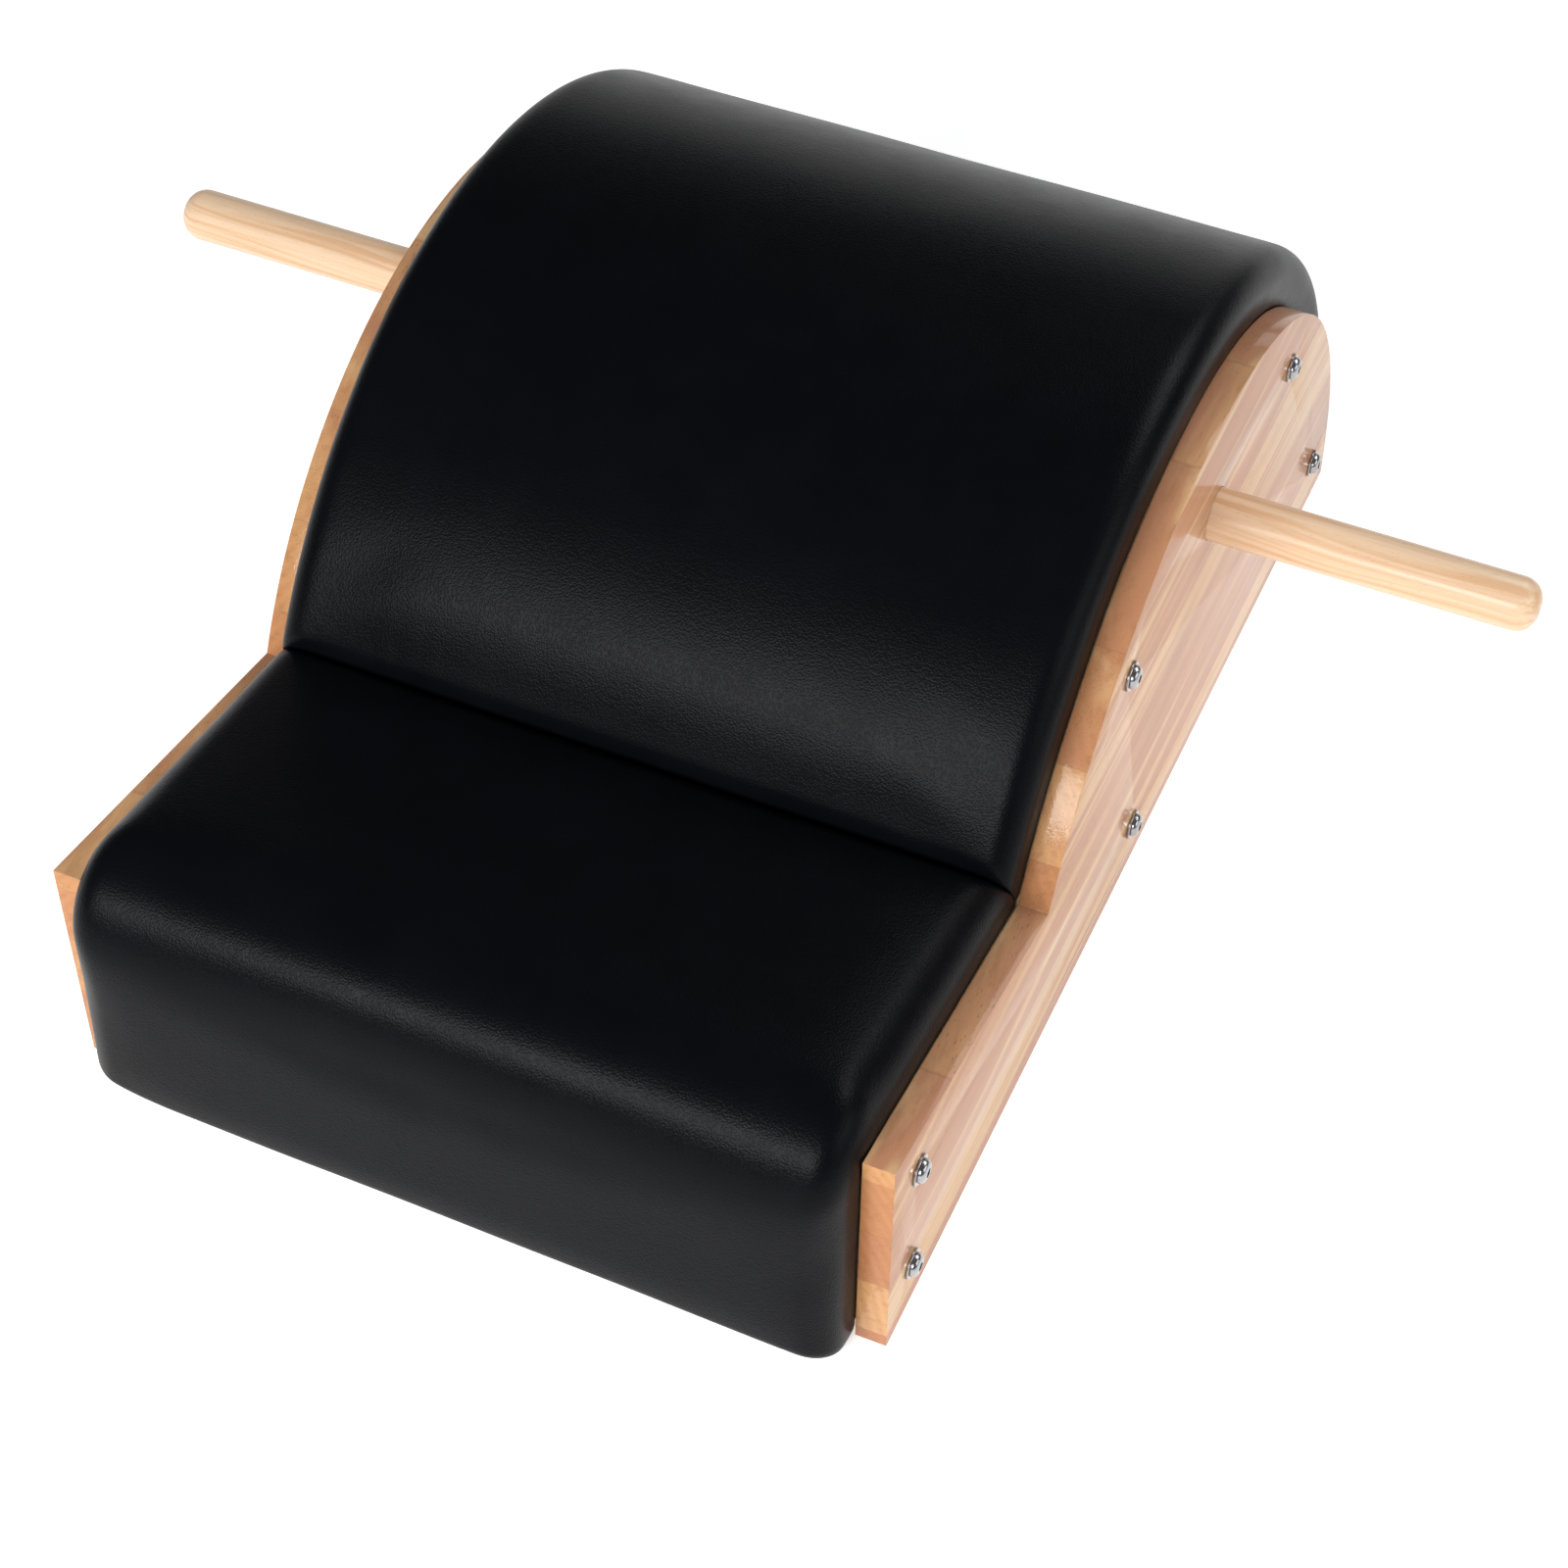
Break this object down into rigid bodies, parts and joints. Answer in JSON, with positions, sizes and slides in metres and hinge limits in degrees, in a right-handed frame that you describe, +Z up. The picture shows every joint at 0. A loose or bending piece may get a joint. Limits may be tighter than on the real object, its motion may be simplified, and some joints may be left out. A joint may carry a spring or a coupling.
{
  "type": "spine corrector barrel",
  "caption": "Arched padded exercise barrel with a stepped padded seat, held between two solid wood side panels, with a round dowel handle standing out of each side.",
  "frame": {"origin": "on the floor under the middle of the bounding box, midway between the two side panels", "axes": "+X along the right-hand handle, -Y towards the front of the seat, +Y towards the tail of the barrel, +Z up"},
  "size_m": [0.874, 0.8258, 0.3119],
  "materials": {
    "panel_wood": "gloss varnished hardwood staves",
    "handle_wood": "gloss varnished turned hardwood",
    "rail_wood": "planed softwood, unfinished",
    "plywood": "bare birch plywood",
    "foam": "open cell upholstery foam",
    "synthetic_leather": "fine grained black synthetic leather, satin",
    "bolt_chrome": "bright plated steel",
    "insert_brass": "turned brass",
    "zinc_screw": "zinc plated steel",
    "foot_rubber": "matt rubber"
  },
  "bodies": {
    "root": {"side_panel_left": "panel_wood", "side_panel_right": "panel_wood", "front_upper_rail": "rail_wood", "front_lower_rail": "rail_wood", "middle_rail": "rail_wood", "barrel_front_rail": "rail_wood", "barrel_rear_rail": "rail_wood", "tail_rail": "rail_wood", "barrel_shell": "plywood", "seat_deck": "plywood", "front_board": "plywood", "step_batten": "rail_wood", "barrel_ledger_left": "rail_wood", "barrel_ledger_right": "rail_wood", "deck_ledger_left": "rail_wood", "deck_ledger_right": "rail_wood", "seat_foam": "foam", "seat_cover": "synthetic_leather", "barrel_foam": "foam", "barrel_cover": "synthetic_leather", "handle_left": "handle_wood", "handle_right": "handle_wood", "handle_block_left": "rail_wood", "handle_block_right": "rail_wood", "handle_screw_left": "zinc_screw", "handle_screw_right": "zinc_screw", "rail_bolts_left": "bolt_chrome", "rail_bolts_right": "bolt_chrome", "rail_washers_left": "bolt_chrome", "rail_washers_right": "bolt_chrome", "rail_inserts_left": "insert_brass", "rail_inserts_right": "insert_brass", "barrel_screws": "zinc_screw", "seat_screws": "zinc_screw", "feet_left": "foot_rubber", "feet_right": "foot_rubber"}
  },
  "joints": []
}
